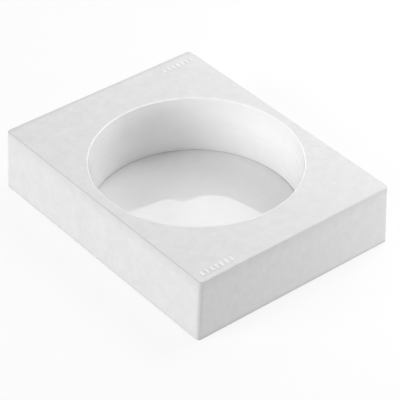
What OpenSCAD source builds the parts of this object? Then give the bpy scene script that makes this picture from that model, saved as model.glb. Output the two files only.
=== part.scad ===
// Flexible casting mould: a rectangular block with one round flat-floored cavity.
// +X runs along the block's long side, +Y along its short side and +Z up.
// The origin is the centre of the base. Lengths are in millimetres.

/* [Block] */
// Length of the top face along X
top_length = 230; // [190:1:280]
// Width of the top face along Y
top_width = 176.5; // [174:0.5:240]
// Height from the base to the top face
height = 51; // [30:1:80]
// How much further out each end stands at the base than at the top
end_draft = 0.5; // [0:0.1:3]
// How much further out each long side stands at the base than at the top
side_draft = 2; // [0:0.1:4]
// Radius of the four upright corners
corner_radius = 3; // [2:0.5:6]
// Radius that rounds the edge of the top face
edge_radius = 1; // [0.4:0.1:1.8]

/* [Cavity] */
// Diameter of the round cavity
cavity_diameter = 160; // [60:1:160]
// How far the cavity sits along X from the middle of the block
cavity_shift = 2.4; // [0:0.1:4]
// Thickness of the cavity floor
floor_thickness = 2.5; // [1.5:0.1:6]
// Radius that rounds the cavity's mouth
mouth_radius = 0.8; // [0.4:0.1:2.5]

/* [Walls] */
// Thickness of the round wall about the cavity
ring_thickness = 3.5; // [3:0.1:3.5]
// Thickness of the top deck
deck_thickness = 3.5; // [3:0.1:6]
// Thickness of the outer walls where they meet the deck
skirt_thickness = 3; // [2:0.1:3]
// Length along X of the solid bridge between the round wall and each long side
bridge_length = 56; // [20:1:80]
// Thickness of the stiffening ribs under the deck
rib_thickness = 3; // [2:0.5:5]
// How far the ribs stop above the base
rib_gap = 4; // [0:1:15]

/* [Corner marks] */
// Number of raised bars in each mark
mark_bars = 7; // [3:1:7]
// Length of a bar along X
mark_bar_length = 5; // [3:0.5:8]
// Width of a bar along Y
mark_bar_width = 1.6; // [1:0.1:2.4]
// Distance along Y from one bar to the next
mark_pitch = 4.4; // [3:0.1:5]
// Height that the bars stand above the top face
mark_height = 0.5; // [0.2:0.1:1]
// Distance from the end of the top face to the middle of the front mark
front_mark_inset = 7.5; // [6:0.5:14]
// Distance from the end of the top face to the middle of the back mark
back_mark_inset = 11.5; // [6:0.5:14]
// Distance from the X axis to the middle of each mark
mark_offset = 67.5; // [55:0.5:68]

/* [Hidden] */
silicone = [0.93, 0.93, 0.93];
$fn = 360;
cavity_radius = cavity_diameter / 2;
ring_radius = cavity_radius + ring_thickness;
deck_bottom = height - deck_thickness;
base_length = top_length + 2 * end_draft;
base_width = top_width + 2 * side_draft;
inner_length = top_length - 2 * skirt_thickness;
inner_width = top_width - 2 * skirt_thickness;
rounding_steps = 4;
slice = 0.01;
reach = 2 * top_length;

// Rectangle about the origin with rounded corners
module rounded_outline(length, width, radius) {
    corner_x = length / 2 - radius;
    corner_y = width / 2 - radius;
    square([length, 2 * corner_y], center = true);
    square([2 * corner_x, width], center = true);
    for (side_x = [-1, 1], side_y = [-1, 1])
        translate([side_x * corner_x, side_y * corner_y])
            circle(radius, $fn = 40);
}

// Thin horizontal slice of the block, with its top at the given level
module outline_slice(level, length, width, radius) {
    translate([0, 0, level - slice])
        linear_extrude(slice)
            rounded_outline(length, width, radius);
}

// The whole block's outer shape: drafted sides and a rounded top edge
module outer_form() {
    hull() {
        outline_slice(slice, base_length, base_width, corner_radius);
        for (step = [0:rounding_steps]) {
            angle = 90 * step / rounding_steps;
            inset = edge_radius * (1 - cos(angle));
            outline_slice(height - edge_radius * (1 - sin(angle)),
                          top_length - 2 * inset,
                          top_width - 2 * inset,
                          corner_radius - inset);
        }
    }
}

// Level slab that covers the whole block between two heights
module level_slab(bottom, top) {
    translate([-reach / 2, -reach / 2, bottom])
        cube([reach, reach, top - bottom]);
}

// Upright wedge that holds the outer wall facing the given side and its two half corners
module side_wedge(side) {
    corner_x = inner_length / 2;
    corner_y = inner_width / 2;
    spread = reach / 2;
    linear_extrude(deck_bottom)
        if (side == "front" || side == "back")
            mirror([0, side == "front" ? 1 : 0])
                polygon([[-corner_x, corner_y], [corner_x, corner_y],
                         [corner_x + spread, corner_y + spread],
                         [-corner_x - spread, corner_y + spread]]);
        else
            mirror([side == "left" ? 1 : 0, 0])
                polygon([[corner_x, -corner_y], [corner_x, corner_y],
                         [corner_x + spread, corner_y + spread],
                         [corner_x + spread, -corner_y - spread]]);
}

// One outer wall, from the base up to the deck
module outer_wall(side) {
    color(silicone)
        intersection() {
            outer_form();
            side_wedge(side);
        }
}

// Flat top of the block, outside the cavity's lip
module top_deck() {
    color(silicone)
        difference() {
            intersection() {
                outer_form();
                level_slab(deck_bottom, height + 1);
            }
            translate([cavity_shift, 0, deck_bottom - 1])
                cylinder(r = ring_radius, h = deck_thickness + 2);
        }
}

// Rounded lip about the cavity's mouth
module rim_lip() {
    color(silicone)
        translate([cavity_shift, 0, 0])
            rotate_extrude()
                difference() {
                    translate([cavity_radius, deck_bottom])
                        square([ring_thickness, deck_thickness]);
                    translate([cavity_radius, height - mouth_radius])
                        difference() {
                            translate([-1, 0])
                                square([mouth_radius + 1, mouth_radius + 1]);
                            translate([mouth_radius, 0])
                                circle(mouth_radius);
                        }
                }
}

// Round wall about the cavity, from its floor up to the lip
module cavity_wall() {
    color(silicone)
        translate([cavity_shift, 0, floor_thickness])
            difference() {
                cylinder(r = ring_radius, h = deck_bottom - floor_thickness);
                translate([0, 0, -1])
                    cylinder(r = cavity_radius, h = height);
            }
}

// Flat round floor under the cavity and its wall
module cavity_floor() {
    color(silicone)
        translate([cavity_shift, 0, 0])
            cylinder(r = ring_radius, h = floor_thickness);
}

// Solid between the round wall and the middle of a long side
module bridge(side) {
    color(silicone)
        translate([cavity_shift, 0, 0])
            mirror([0, side == "front" ? 1 : 0, 0])
                difference() {
                    translate([-bridge_length / 2, 0, 0])
                        cube([bridge_length, inner_width / 2, deck_bottom]);
                    translate([0, 0, -1])
                        cylinder(r = ring_radius, h = height);
                }
}

// One upright rib from the round wall out to the outer walls
module rib(angle) {
    intersection() {
        difference() {
            rotate([0, 0, angle])
                translate([0, -rib_thickness / 2, rib_gap])
                    cube([reach, rib_thickness, deck_bottom - rib_gap]);
            translate([cavity_shift, 0, rib_gap - 1])
                cylinder(r = ring_radius, h = height);
        }
        translate([-inner_length / 2, -inner_width / 2, 0])
            cube([inner_length, inner_width, height]);
    }
}

// The ribs at one end: one to the end wall and one to each corner
module end_ribs(middle_angle) {
    corner_angle = atan2(inner_width, inner_length);
    color(silicone)
        for (turn = [-corner_angle, 0, corner_angle])
            rib(middle_angle + turn);
}

// A row of raised bars on the top face, centred on the given point
module bar_mark(centre_x, centre_y) {
    first_y = centre_y - mark_pitch * (mark_bars - 1) / 2;
    color(silicone)
        for (bar = [0:mark_bars - 1])
            translate([centre_x - mark_bar_length / 2,
                       first_y + bar * mark_pitch - mark_bar_width / 2,
                       height])
                cube([mark_bar_length, mark_bar_width, mark_height]);
}

module front_wall() {
    outer_wall("front");
}

module back_wall() {
    outer_wall("back");
}

module left_wall() {
    outer_wall("left");
}

module right_wall() {
    outer_wall("right");
}

module front_bridge() {
    bridge("front");
}

module back_bridge() {
    bridge("back");
}

module left_ribs() {
    end_ribs(180);
}

module right_ribs() {
    end_ribs(0);
}

module front_corner_mark() {
    bar_mark(top_length / 2 - front_mark_inset, -mark_offset);
}

module back_corner_mark() {
    bar_mark(-top_length / 2 + back_mark_inset, mark_offset);
}

top_deck();
rim_lip();
cavity_wall();
cavity_floor();
front_wall();
back_wall();
left_wall();
right_wall();
front_bridge();
back_bridge();
left_ribs();
right_ribs();
front_corner_mark();
back_corner_mark();
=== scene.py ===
import math

import bmesh
import bpy
from mathutils import Matrix, Vector, noise


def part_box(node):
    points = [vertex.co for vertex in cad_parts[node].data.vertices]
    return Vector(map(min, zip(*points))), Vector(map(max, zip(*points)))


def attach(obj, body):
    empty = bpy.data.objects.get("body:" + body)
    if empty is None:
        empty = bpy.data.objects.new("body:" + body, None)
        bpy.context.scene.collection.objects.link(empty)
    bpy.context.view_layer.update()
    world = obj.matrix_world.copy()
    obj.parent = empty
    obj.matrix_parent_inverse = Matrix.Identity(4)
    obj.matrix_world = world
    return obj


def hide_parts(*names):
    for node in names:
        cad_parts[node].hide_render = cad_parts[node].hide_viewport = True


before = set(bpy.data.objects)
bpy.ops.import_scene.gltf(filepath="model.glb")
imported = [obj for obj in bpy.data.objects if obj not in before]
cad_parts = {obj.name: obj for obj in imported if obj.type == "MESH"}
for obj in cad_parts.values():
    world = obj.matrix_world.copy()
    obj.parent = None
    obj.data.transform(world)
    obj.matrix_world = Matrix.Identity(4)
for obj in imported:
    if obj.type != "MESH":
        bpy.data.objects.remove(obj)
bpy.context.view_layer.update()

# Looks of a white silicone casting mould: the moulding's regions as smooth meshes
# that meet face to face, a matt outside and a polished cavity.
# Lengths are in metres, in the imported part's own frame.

MM = 0.001


# ---------------------------------------------------------------- sizes from the frame

def ring_sizes(node):
    """Centre, inner radius and outer radius of an upright ring node."""
    low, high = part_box(node)
    centre = (low + high) / 2
    radii = [(v.co.xy - centre.xy).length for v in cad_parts[node].data.vertices]
    return centre.xy, min(radii), max(radii)


deck_low, deck_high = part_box("top_deck")
side_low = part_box("front_wall")[0]
end_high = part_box("right_wall")[1]
rib_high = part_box("right_ribs")[1]

TOP = deck_high.z
DECK_BOTTOM = deck_low.z
FLOOR_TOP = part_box("cavity_floor")[1].z
CENTRE, CAVITY_RADIUS, RING_RADIUS = ring_sizes("cavity_wall")
BASE_HALF = Vector((end_high.x, -side_low.y))
DECK_HALF = Vector((deck_high.x, deck_high.y))
DRAFT = (BASE_HALF - DECK_HALF) / DECK_BOTTOM
INNER_HALF = Vector((rib_high.x, rib_high.y))


# ---------------------------------------------------------------- sizes of the finish

# Roundings and the groove round the foot of the cavity wall
CORNER_RADIUS = 3 * MM
EDGE_RADIUS = 1 * MM
MOUTH_RADIUS = 0.8 * MM
FOOT_RADIUS = 0.8 * MM
GROOVE_WIDTH = 0.8 * MM
GROOVE_DEPTH = 0.6 * MM

# Width of the flat strip beside a rounding, which keeps its shading off the flat face
EDGE_MARGIN = 0.15 * MM

# Spacing of the meshes. A corner has an even number of steps, as two walls part in its middle
OUTLINE_STEP = 2 * MM
LEVEL_STEP = 3 * MM
INNER_LEVEL_STEP = 6 * MM
FLOOR_RING_STEP = 2.5 * MM
CORNER_STEPS = 12
ROUND_STEPS = 8
FOOT_STEPS = 4
DECK_RINGS = 12
UNDER_RINGS = 6

# Shading is sharp where faces turn by more than this, in degrees
SHARP_ANGLE = 38

# A face is level if its normal's height is over LEVEL, and a side or an underside if it is
# under SIDEWAYS
LEVEL = 0.999
SIDEWAYS = 0.7

# How far the soft block lies inside its ideal shape, and how much that varies, over what length
SHRINK = 0.1 * MM
BROAD_RIPPLE = 0.1 * MM
BROAD_SCALE = 45 * MM
FINE_RIPPLE = 0.05 * MM
FINE_SCALE = 14 * MM

# Gentle swells of the thin cavity floor: (x, y, radius, height)
FLOOR_SWELLS = [
    (-12 * MM, 42 * MM, 24 * MM, 0.6 * MM),
    (-19 * MM, 5 * MM, 8 * MM, -0.2 * MM),
    (-31 * MM, -3 * MM, 10 * MM, 0.12 * MM),
]

# Power with which the swells fade towards the wall: the higher, the later they fade
SWELL_FADE = 6

# How much painted shade greys each place, as a share of the full grey: a dark line on the rounded
# top edge, mostly spared at the lit right end, a dark band on the left end's top edge and on the
# upright corners, a darker band below the top edge on the sides, and a painted contact shadow
# along the foot
SHADE_ATTRIBUTE = "painted_shade"
EDGE_SHADE = 0.6
RIGHT_EDGE_LIT = 0.9
LEFT_TOP_SHADE = 0.4
CORNER_SHADE = 0.27
RIM_SHADE = 0.22
RIM_SHADE_REACH = 9 * MM
END_FOOT_SHADOW = 1.0
LONG_FOOT_SHADOW = 0.5


# ---------------------------------------------------------------- mesh helpers

def face_outward(mesh):
    """Turn the faces of a closed mesh so that their normals point out of it."""
    shape = bmesh.new()
    shape.from_mesh(mesh)
    bmesh.ops.recalc_face_normals(shape, faces=shape.faces)
    shape.to_mesh(mesh)
    shape.free()


def make_piece(name, points, faces, node, slot, *materials):
    """A smooth-shaded closed mesh that stands for one CAD node."""
    mesh = bpy.data.meshes.new(name)
    mesh.from_pydata(points, [], faces)
    mesh.validate()
    face_outward(mesh)
    mesh.polygons.foreach_set("use_smooth", [True] * len(mesh.polygons))
    mesh.set_sharp_from_angle(angle=math.radians(SHARP_ANGLE))
    for material in materials:
        mesh.materials.append(material)
    piece = bpy.data.objects.new(name, mesh)
    bpy.context.scene.collection.objects.link(piece)
    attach(piece, "root")
    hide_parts(node)
    return piece


def loft(loops, closed=False, capped=False):
    """Points and faces of the skin through equal loops.

    A closed row of loops runs back to its first one, and a capped row has flat ends.
    """
    size = len(loops[0])
    points = [point for loop in loops for point in loop]
    faces = []
    for row in range(len(loops) if closed else len(loops) - 1):
        here = row * size
        there = (row + 1) % len(loops) * size
        for i in range(size):
            j = (i + 1) % size
            faces.append((here + i, here + j, there + j, there + i))
    if capped:
        last = (len(loops) - 1) * size
        faces.append(tuple(reversed(range(size))))
        faces.append(tuple(range(last, last + size)))
    return points, faces


def fan(first, size, tip):
    """Triangles from a loop of points, which starts at first, to a point in its middle."""
    return [(first + i, first + (i + 1) % size, tip) for i in range(size)]


def spaced(first, last, step):
    """Values from first to last at even spacing near step, both ends included."""
    count = max(1, round(abs(last - first) / step))
    return [first + (last - first) * i / count for i in range(count + 1)]


def rounding(radius, steps=ROUND_STEPS):
    """(inset, drop) pairs along a quarter round, from the top face out to the side."""
    for step in range(steps + 1):
        turn = math.radians(90) * step / steps
        yield radius * (1 - math.sin(turn)), radius * (1 - math.cos(turn))


def polar(radius, angle, z):
    """Point at a distance and an angle from the cavity's own axis."""
    return Vector((CENTRE.x + radius * math.cos(angle), CENTRE.y + radius * math.sin(angle), z))


def upright(point, z):
    """The point's place in plan, at a height."""
    return Vector((point.x, point.y, z))


# ---------------------------------------------------------------- outline of the block

# The corners in order, anticlockwise from the front right one
CORNER_SIGNS = [Vector((1, -1)), Vector((1, 1)), Vector((-1, 1)), Vector((-1, -1))]


def arc_start(corner):
    """Angle in degrees at which a corner's quarter arc starts."""
    return 90 * corner - 90


def next_corner(corner):
    """The corner that comes after one, going round."""
    return (corner + 1) % len(CORNER_SIGNS)


def half_size(height):
    """Half length and half width of the drafted block, up to where its top edge rounds."""
    return BASE_HALF - DRAFT * min(height, TOP - EDGE_RADIUS)


def outline_stations():
    """Stations round the block, from the middle of the first corner.

    Each is (corner, angle, share): a point at that angle on the corner's arc, or, where
    share is more than 0, the point that share of the way to the next corner.
    """
    stations = []
    for corner in range(len(CORNER_SIGNS)):
        for step in range(CORNER_STEPS + 1):
            stations.append((corner, arc_start(corner) + 90 * step / CORNER_STEPS, 0.0))
        run = 2 * (BASE_HALF.y if corner % 2 == 0 else BASE_HALF.x) - 2 * CORNER_RADIUS
        count = round(run / OUTLINE_STEP)
        for step in range(1, count):
            stations.append((corner, arc_start(corner + 1), step / count))
    start = CORNER_STEPS // 2
    return stations[start:] + stations[:start]


def outline_point(station, half, radius):
    """Point of a rounded rectangle's outline at a station."""
    corner, angle, share = station
    inner = half - Vector((radius, radius))
    here = CORNER_SIGNS[corner] * inner
    there = CORNER_SIGNS[next_corner(corner)] * inner
    centre = here.lerp(there, share)
    turn = math.radians(angle)
    return centre + radius * Vector((math.cos(turn), math.sin(turn)))


def ring_angles():
    """Polar angle of each station, so that round and square pieces share their spokes."""
    spokes = [outline_point(s, half_size(TOP), CORNER_RADIUS) - CENTRE for s in STATIONS]
    return [math.atan2(spoke.y, spoke.x) for spoke in spokes]


STATIONS = outline_stations()
ANGLES = ring_angles()


# ---------------------------------------------------------------- soft silicone's unevenness

def ripple(point, scale):
    """Smooth unevenness between about -1 and 1 that repeats nowhere on the block."""
    return noise.noise(point / scale)


def settle(point):
    """Where a point of the ideal block lies on the real one, which stands on a true foot."""
    x, y, z = point
    outward = Vector((x, y, 0)).normalized()
    lift = min(1.0, z / FLOOR_TOP)
    shift = BROAD_RIPPLE * ripple(point, BROAD_SCALE) + FINE_RIPPLE * ripple(point, FINE_SCALE)
    return Vector(point) - outward * (SHRINK + shift) * lift


# ---------------------------------------------------------------- where painted shade greys the block

def hump(step, first, steps):
    """Full in the middle of a run of steps from the one called first, none at its ends."""
    share = (step - first) / steps
    return math.sin(math.pi * share) if 0 < share < 1 else 0.0


def corner_shade(station):
    """How much painted shade darkens an upright corner at a station: most in its middle."""
    corner, angle, share = station
    return CORNER_SHADE * hump(angle, arc_start(corner), 90) if share == 0 else 0.0


def side_shade(station, z):
    """How much painted shade darkens the outside at a station and a height: upright corners and a
    band below the top edge.
    """
    fade = 1 - (TOP - EDGE_RADIUS - z) / RIM_SHADE_REACH
    return max(corner_shade(station), RIM_SHADE * max(0.0, min(1.0, fade)))


def paint_shade(piece, size, shade_at):
    """Writes how much painted shade each point of a lofted piece carries, from its loop and its
    place in it.
    """
    shade_layer = piece.data.attributes.new(SHADE_ATTRIBUTE, "FLOAT", "POINT")
    for index, point in enumerate(shade_layer.data):
        point.value = shade_at(index // size, index % size)


# ---------------------------------------------------------------- pieces of the moulding

def deck_loop(station, angle):
    """The deck's section at one station: top, rounded edge, side, underside."""
    loop = []
    inner = polar(RING_RADIUS, angle, TOP)
    inset_half = half_size(TOP) - Vector((EDGE_RADIUS, EDGE_RADIUS))
    edge = upright(outline_point(station, inset_half, CORNER_RADIUS - EDGE_RADIUS), TOP)
    for share in spaced(0, 1, 1 / DECK_RINGS)[:-1]:
        loop.append(inner.lerp(edge, share))
    loop.append(edge + (inner - edge).normalized() * EDGE_MARGIN)
    for inset, drop in rounding(EDGE_RADIUS):
        half = half_size(TOP) - Vector((inset, inset))
        loop.append(upright(outline_point(station, half, CORNER_RADIUS - inset), TOP - drop))
    for z in (TOP - EDGE_RADIUS - EDGE_MARGIN, DECK_BOTTOM):
        loop.append(upright(outline_point(station, half_size(z), CORNER_RADIUS), z))
    foot = loop[-1]
    under = polar(RING_RADIUS, angle, DECK_BOTTOM)
    for share in spaced(0, 1, 1 / UNDER_RINGS)[1:]:
        loop.append(foot.lerp(under, share))
    return loop


def top_deck(material, shaded_side_material):
    """The flat top round the mouth and its own sides, with painted shade along its outer edge."""
    loops = [[settle(p) for p in deck_loop(s, a)] for s, a in zip(STATIONS, ANGLES)]
    deck = make_piece("deck_skin", *loft(loops, closed=True), "top_deck", "matt_silicone",
                      material, shaded_side_material)
    # The deck's sides take the darker side finish: painted shade
    for face in deck.data.polygons:
        if face.normal.z < SIDEWAYS:
            face.material_index = 1

    # Steps of a loop where the edge's rounding starts, its middle, and the foot of the side
    first = DECK_RINGS + 1
    middle = first + ROUND_STEPS // 2
    foot = first + ROUND_STEPS + 2

    # Painted shade: a dark line along the rounded top edge, mostly spared at the lit right end, a
    # dark band on the left end's top edge, and on the side the painted shade of corners and upper
    # band
    def shade_at(row, step):
        rightward = math.cos(math.radians(STATIONS[row][1]))
        lit_share = RIGHT_EDGE_LIT * max(0.0, rightward)
        edge = EDGE_SHADE * hump(step, first, ROUND_STEPS) * (1 - lit_share)
        if first - 1 <= step <= middle:
            return max(edge, LEFT_TOP_SHADE * max(0.0, -rightward))
        if middle < step <= foot:
            return max(edge, side_shade(STATIONS[row], loops[row][step].z))
        return 0.0

    paint_shade(deck, len(loops[0]), shade_at)


def revolve(profile):
    """Closed ring through the shared spokes from a profile of (radius, height) points."""
    loops = [[settle(polar(r, angle, z)) for r, z in profile] for angle in ANGLES]
    return loft(loops, closed=True)


def rim_lip(polished, matt):
    """The lip about the mouth: matt on top like the deck, polished inside."""
    profile = [(RING_RADIUS, DECK_BOTTOM), (RING_RADIUS, TOP),
               (CAVITY_RADIUS + MOUTH_RADIUS + EDGE_MARGIN, TOP)]
    for inset, drop in rounding(MOUTH_RADIUS):
        profile.append((CAVITY_RADIUS + inset, TOP - drop))
    profile.append((CAVITY_RADIUS, TOP - MOUTH_RADIUS - EDGE_MARGIN))
    profile.append((CAVITY_RADIUS, DECK_BOTTOM))
    lip = make_piece("lip_skin", *revolve(profile), "rim_lip", "polished_silicone",
                     polished, matt)
    for face in lip.data.polygons:
        if face.normal.z > LEVEL:
            face.material_index = 1


def cavity_wall(material):
    """The round wall of the cavity, from the floor up to the lip."""
    levels = spaced(DECK_BOTTOM, FLOOR_TOP, LEVEL_STEP)
    profile = [(RING_RADIUS, z) for z in reversed(levels)]
    profile += [(CAVITY_RADIUS, z) for z in levels]
    make_piece("cavity_wall_skin", *revolve(profile), "cavity_wall", "polished_silicone",
               material)


def floor_height(x, y):
    """Height of the cavity floor: level, apart from its gentle swells."""
    outward = math.hypot(x - CENTRE.x, y - CENTRE.y) / CAVITY_RADIUS
    rise = 0.0
    for swell_x, swell_y, radius, height in FLOOR_SWELLS:
        distance = math.hypot(x - swell_x, y - swell_y) / radius
        rise += height * math.exp(-distance * distance)
    return FLOOR_TOP + rise * max(0.0, 1 - outward ** SWELL_FADE)


def cavity_floor(material):
    """The thin floor disc: rings of shared spokes, closed by a fan above and one below."""
    groove = CAVITY_RADIUS - GROOVE_WIDTH
    spread = spaced(0, groove, FLOOR_RING_STEP)[1:]
    profile = [(radius, 0) for radius in spread]
    profile += [(groove + GROOVE_WIDTH / 2, GROOVE_DEPTH), (CAVITY_RADIUS, GROOVE_DEPTH),
                (CAVITY_RADIUS, 0), (RING_RADIUS, 0)]
    rings = []
    for radius, drop in profile:
        spots = [polar(radius, angle, 0) for angle in ANGLES]
        rings.append([settle(upright(p, floor_height(p.x, p.y) - drop)) for p in spots])
    for radius in [RING_RADIUS] + spread[::-1]:
        rings.append([polar(radius, angle, 0) for angle in ANGLES])
    points, faces = loft(rings)
    size = len(ANGLES)
    faces += fan(0, size, len(points))
    faces += fan(len(points) - size, size, len(points) + 1)
    points += [upright(CENTRE, floor_height(*CENTRE)), upright(CENTRE, 0)]
    make_piece("cavity_floor_skin", points, faces, "cavity_floor", "polished_silicone",
               material)


def wall_loop(station):
    """An outer wall's section at one station: foot, outer face, top, inner face."""
    loop = []
    for inset, drop in rounding(FOOT_RADIUS, FOOT_STEPS):
        half = half_size(0) - Vector((inset, inset))
        loop.append(upright(outline_point(station, half, CORNER_RADIUS - inset), drop))
    for z in spaced(FOOT_RADIUS, DECK_BOTTOM, LEVEL_STEP)[1:]:
        loop.append(upright(outline_point(station, half_size(z), CORNER_RADIUS), z))
    outer = loop[-1]
    inner = Vector((max(-INNER_HALF.x, min(INNER_HALF.x, outer.x)),
                    max(-INNER_HALF.y, min(INNER_HALF.y, outer.y))))
    for z in spaced(DECK_BOTTOM, 0, INNER_LEVEL_STEP):
        loop.append(upright(inner, z))
    return loop


def corner_middle(corner):
    """Index of the station in the middle of a corner."""
    return STATIONS.index((corner, arc_start(corner) + 45, 0.0))


def wall_run(corner):
    """The stations from the middle of one corner to the middle of the next."""
    first = corner_middle(corner)
    last = corner_middle(next_corner(corner))
    if last <= first:
        last += len(STATIONS)
    return [STATIONS[i % len(STATIONS)] for i in range(first, last + 1)]


def outer_wall(name, corner, foot_shadow, material):
    """The outer wall that starts at a corner, with a painted contact shadow along its foot and
    painted shade on its corners and below its top edge.

    The painted shadow of the foot runs from one step before its rounding to one step past it.
    """
    run = wall_run(corner)
    loops = [[settle(p) for p in wall_loop(s)] for s in run]
    wall = make_piece(name + "_skin", *loft(loops, capped=True), name, "matt_silicone",
                      material)
    outer_steps = FOOT_STEPS + len(spaced(FOOT_RADIUS, DECK_BOTTOM, LEVEL_STEP))

    def shade_at(row, step):
        # Painted contact shadow along the foot, and painted shade on the corners and the band
        # below the top edge
        foot = foot_shadow * hump(step, -1, FOOT_STEPS + 2)
        upper = side_shade(run[row], loops[row][step].z) if step < outer_steps else 0.0
        return max(foot, upper)

    paint_shade(wall, len(loops[0]), shade_at)


# ---------------------------------------------------------------- materials

# Grey of the painted shade and of the painted contact shadow
SHADE_GREY = (0.45, 0.45, 0.455, 1)
SILICONE_IOR = 1.41

# Noise: features per metre, levels of finer detail, and the span of values that is used
CLOUD_SCALE = 130
CLOUD_DETAIL = 6
CLOUD_ROUGHNESS = 0.7
CLOUD_SPAN = (0.35, 0.65)
GLOSS_SCALE = 45
GLOSS_DETAIL = 5
GLOSS_SPAN = (0.3, 0.7)
GRAIN_SCALE = 900
GRAIN_DETAIL = 3
STREAK_SCALE = (6, 6, 420)
STREAK_DETAIL = 3

# Depths of the relief
GRAIN_DEPTH = 0.1 * MM
STREAK_DEPTH = 0.3 * MM


def new_material(name):
    """A material with nodes, its node tree and its shader."""
    material = bpy.data.materials.new(name)
    material.use_nodes = True
    tree = material.node_tree
    return material, tree, tree.nodes["Principled BSDF"]


def noise_node(tree, scale, detail, coordinates):
    """Noise that is fixed to the piece, finer with more detail."""
    node = tree.nodes.new("ShaderNodeTexNoise")
    node.inputs["Scale"].default_value = scale
    node.inputs["Detail"].default_value = detail
    tree.links.new(coordinates, node.inputs["Vector"])
    return node


def cloud_colour(tree, source, low, high):
    """A colour between low and high that follows the clouding noise."""
    ramp = tree.nodes.new("ShaderNodeValToRGB")
    for stop, position, colour in zip(ramp.color_ramp.elements, CLOUD_SPAN, (low, high)):
        stop.position = position
        stop.color = (*colour, 1)
    tree.links.new(source, ramp.inputs["Fac"])
    return ramp.outputs["Color"]


def uneven_gloss(tree, source, low, high):
    """A roughness between low and high that follows the gloss noise."""
    node = tree.nodes.new("ShaderNodeMapRange")
    node.inputs["From Min"].default_value = GLOSS_SPAN[0]
    node.inputs["From Max"].default_value = GLOSS_SPAN[1]
    node.inputs["To Min"].default_value = low
    node.inputs["To Max"].default_value = high
    tree.links.new(source, node.inputs["Value"])
    return node.outputs["Result"]


def shade_tint(tree, colour):
    """The colour, greyed by the painted shade that the pieces carry in their shade attribute."""
    edge = tree.nodes.new("ShaderNodeAttribute")
    edge.attribute_name = SHADE_ATTRIBUTE
    mix = tree.nodes.new("ShaderNodeMix")
    mix.data_type = "RGBA"
    mix.inputs["B"].default_value = SHADE_GREY
    tree.links.new(edge.outputs["Fac"], mix.inputs["Factor"])
    tree.links.new(colour, mix.inputs["A"])
    return mix.outputs["Result"]


def streaks(tree, coordinates):
    """Faint level lines that the turned master left round the cavity."""
    stretch = tree.nodes.new("ShaderNodeMapping")
    stretch.inputs["Scale"].default_value = STREAK_SCALE
    tree.links.new(coordinates, stretch.inputs["Vector"])
    return noise_node(tree, 1, STREAK_DETAIL, stretch.outputs["Vector"]).outputs["Fac"]


def add_bump(tree, height, strength, distance, shader, below=None):
    """A bump node on the shader's normal, on top of another bump where one is given."""
    bump = tree.nodes.new("ShaderNodeBump")
    bump.inputs["Strength"].default_value = strength
    bump.inputs["Distance"].default_value = distance
    tree.links.new(height, bump.inputs["Height"])
    if below:
        tree.links.new(below.outputs["Normal"], bump.inputs["Normal"])
    tree.links.new(bump.outputs["Normal"], shader.inputs["Normal"])
    return bump


def silicone(name, low, high, rough, grain, turned=0):
    """White silicone rubber: faint clouding, uneven gloss and a fine moulded grain.

    The colour lies between low and high and the roughness between rough's two values.
    Grain is how strong the grain is, and turned how strong the lines of a turned master.
    """
    material, tree, shader = new_material(name)
    coordinates = tree.nodes.new("ShaderNodeTexCoord").outputs["Object"]
    clouds = noise_node(tree, CLOUD_SCALE, CLOUD_DETAIL, coordinates)
    clouds.inputs["Roughness"].default_value = CLOUD_ROUGHNESS
    tint = cloud_colour(tree, clouds.outputs["Fac"], low, high)
    # The base colour greyed by the painted shade in the shade attribute
    tree.links.new(shade_tint(tree, tint), shader.inputs["Base Color"])
    patches = noise_node(tree, GLOSS_SCALE, GLOSS_DETAIL, coordinates)
    gloss = uneven_gloss(tree, patches.outputs["Fac"], *rough)
    tree.links.new(gloss, shader.inputs["Roughness"])
    grains = noise_node(tree, GRAIN_SCALE, GRAIN_DETAIL, coordinates)
    bump = add_bump(tree, grains.outputs["Fac"], grain, GRAIN_DEPTH, shader)
    if turned:
        add_bump(tree, streaks(tree, coordinates), turned, STREAK_DEPTH, shader, bump)
    shader.inputs["IOR"].default_value = SILICONE_IOR
    return material


matt_silicone = silicone("matt_finish", (0.675, 0.675, 0.68), (0.725, 0.725, 0.725),
                         rough=(0.50, 0.60), grain=0.5)
# Lighter than the matt outside: painted light that brightens the cavity wall and the lip's
# rounding; the low roughness is the cavity's real polish
polished_silicone = silicone("lit_polished_finish", (0.92, 0.92, 0.925), (0.94, 0.94, 0.94),
                             rough=(0.08, 0.12), grain=0.02, turned=1.0)
# The matt silicone made darker for the block's outer sides: painted shade
shaded_side_silicone = silicone("shaded_side_finish", (0.645, 0.645, 0.65), (0.695, 0.695, 0.695),
                         rough=(0.50, 0.60), grain=0.5)
# Lighter than the matt top: the lighter tone is a painted highlight on the raised marks, and the
# lower roughness gives them real gloss
lit_raised_silicone = silicone("lit_raised_finish", (0.80, 0.80, 0.805), (0.82, 0.82, 0.82),
                           rough=(0.25, 0.35), grain=0.10)
# Darker than the polished wall: painted shade on the cavity floor; the mirror-smooth roughness is
# the floor's real gloss
shaded_floor_silicone = silicone("shaded_floor_finish", (0.725, 0.725, 0.73), (0.745, 0.745, 0.745),
                         rough=(0.003, 0.006), grain=0.002)

top_deck(matt_silicone, shaded_side_silicone)
rim_lip(polished_silicone, matt_silicone)
cavity_wall(polished_silicone)
cavity_floor(shaded_floor_silicone)
outer_wall("right_wall", 0, END_FOOT_SHADOW, shaded_side_silicone)
outer_wall("back_wall", 1, LONG_FOOT_SHADOW, shaded_side_silicone)
outer_wall("left_wall", 2, END_FOOT_SHADOW, shaded_side_silicone)
outer_wall("front_wall", 3, LONG_FOOT_SHADOW, shaded_side_silicone)


# ---------------------------------------------------------------- CAD nodes that stay

WELD_DISTANCE = 0.001 * MM
SOFT_EDGE = 0.15 * MM


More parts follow.
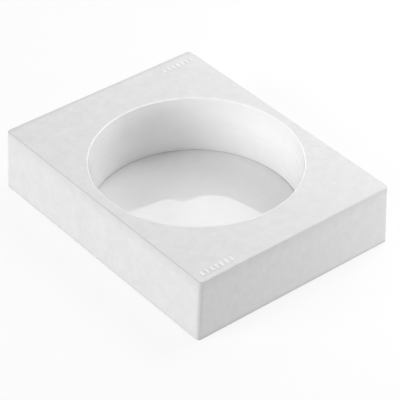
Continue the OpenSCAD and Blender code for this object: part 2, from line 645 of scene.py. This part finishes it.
def soften(cad):
    """Rounds the edges of a CAD piece a little, as moulded rubber has them."""
    weld = cad.modifiers.new("weld", "WELD")
    weld.merge_threshold = WELD_DISTANCE
    bevel = cad.modifiers.new("soft_edges", "BEVEL")
    bevel.width = SOFT_EDGE
    bevel.segments = 2
    bevel.limit_method = "ANGLE"


def finish_nodes(material, *nodes):
    """Gives CAD nodes a material and soft edges."""
    for node in nodes:
        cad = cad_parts[node]
        cad.data.materials.clear()
        cad.data.materials.append(material)
        soften(cad)


finish_nodes(matt_silicone, "front_bridge", "back_bridge", "left_ribs", "right_ribs")
finish_nodes(lit_raised_silicone, "front_corner_mark", "back_corner_mark")


# ---------------------------------------------------------------- stage, lights and camera

FLOOR_GREY = (0.15, 0.15, 0.15, 1)
FLOOR_ROUGHNESS = 0.9
FLOOR_GLOW = 0.82
AIR_GLOW = 0.93
FLOOR_REACH = 8.0
FLOOR_GAP = 0.2 * MM
WHITE = (1, 1, 1, 1)

# Soft lights, in degrees and metres: (name, azimuth, elevation, distance, width, height, radiance)
LIGHTS = [
    ("front_softbox", 349, 24, 2.5, 1.5, 1.5, 6.9),
    ("right_softbox", 75, 35, 2.5, 1.5, 1.5, 1.1),
    ("low_right_softbox", 125, 5, 2.5, 1.6, 0.4, 5.0),
    ("corner_softbox", 125, 12, 0.35, 0.25, 0.15, 1.6),
    ("far_softbox", 180, 50, 2.5, 1.5, 1.5, 3.3),
    ("back_softbox", 230, 38, 1.6, 0.7, 0.6, 3.8),
    ("near_far_softbox", 175, 30, 0.5, 0.3, 0.3, 2.6),
    ("top_softbox", 0, 88, 2.5, 1.5, 1.5, 1.9),
]


def stage_floor():
    """A plain pale studio floor, lit evenly from within so that shadows stay faint."""
    mesh = bpy.data.meshes.new("studio_floor")
    corners = [(sign.x * FLOOR_REACH, sign.y * FLOOR_REACH, 0) for sign in CORNER_SIGNS]
    mesh.from_pydata(corners, [], [(0, 1, 2, 3)])
    floor = bpy.data.objects.new("studio_floor", mesh)
    bpy.context.scene.collection.objects.link(floor)
    material, _, shader = new_material("studio_floor")
    shader.inputs["Base Color"].default_value = FLOOR_GREY
    shader.inputs["Roughness"].default_value = FLOOR_ROUGHNESS
    shader.inputs["Specular IOR Level"].default_value = 0.0
    shader.inputs["Emission Color"].default_value = WHITE
    shader.inputs["Emission Strength"].default_value = FLOOR_GLOW
    mesh.materials.append(material)
    floor.location.z = -FLOOR_GAP


def direction(azimuth, elevation):
    """Unit vector from the object towards azimuth (0 is -Y, 90 is +X) and elevation."""
    a = math.radians(azimuth)
    e = math.radians(elevation)
    return Vector((math.sin(a) * math.cos(e), -math.cos(a) * math.cos(e), math.sin(e)))


def softbox(name, azimuth, elevation, distance, width, height, radiance):
    """A rectangular soft light that faces the object, as bright as the given radiance."""
    data = bpy.data.lights.new(name, "AREA")
    data.shape = "RECTANGLE"
    data.size = width
    data.size_y = height
    data.energy = radiance * width * height * math.pi
    light = bpy.data.objects.new(name, data)
    bpy.context.scene.collection.objects.link(light)
    towards = direction(azimuth, elevation)
    light.location = towards * distance
    light.rotation_euler = towards.to_track_quat("Z", "Y").to_euler()
    light.visible_camera = False


def pale_air():
    """A pale surround for low views, which gives the object no light."""
    background = bpy.data.worlds.new("studio_air")
    bpy.context.scene.world = background
    background.use_nodes = True
    shader = background.node_tree.nodes["Background"]
    shader.inputs["Color"].default_value = WHITE
    shader.inputs["Strength"].default_value = AIR_GLOW
    background.cycles_visibility.diffuse = False
    background.cycles_visibility.glossy = False


# Angles in degrees, distance in metres, lens and sensor in millimetres
CAMERA_AZIMUTH = 50.3
CAMERA_ELEVATION = 37.3
CAMERA_ROLL = 0.7
CAMERA_DISTANCE = 1.495
CAMERA_AIM = Vector((7.6, -0.5, 16.9)) * MM
CAMERA_LENS = 180.7
SENSOR_WIDTH = 36


def camera():
    """A long lens at the picture's angle, aimed a little off the middle of the block."""
    data = bpy.data.cameras.new("camera")
    data.sensor_width = SENSOR_WIDTH
    data.lens = CAMERA_LENS
    view = bpy.data.objects.new("camera", data)
    bpy.context.scene.collection.objects.link(view)
    back = direction(CAMERA_AZIMUTH, CAMERA_ELEVATION)
    view.location = CAMERA_AIM + back * CAMERA_DISTANCE
    level = back.to_track_quat("Z", "Y")
    roll = Matrix.Rotation(math.radians(CAMERA_ROLL), 4, "Z")
    view.rotation_euler = (level.to_matrix().to_4x4() @ roll).to_euler()
    bpy.context.scene.camera = view


stage_floor()
pale_air()
for light in LIGHTS:
    softbox(*light)
camera()
bpy.context.scene.view_settings.view_transform = "Standard"
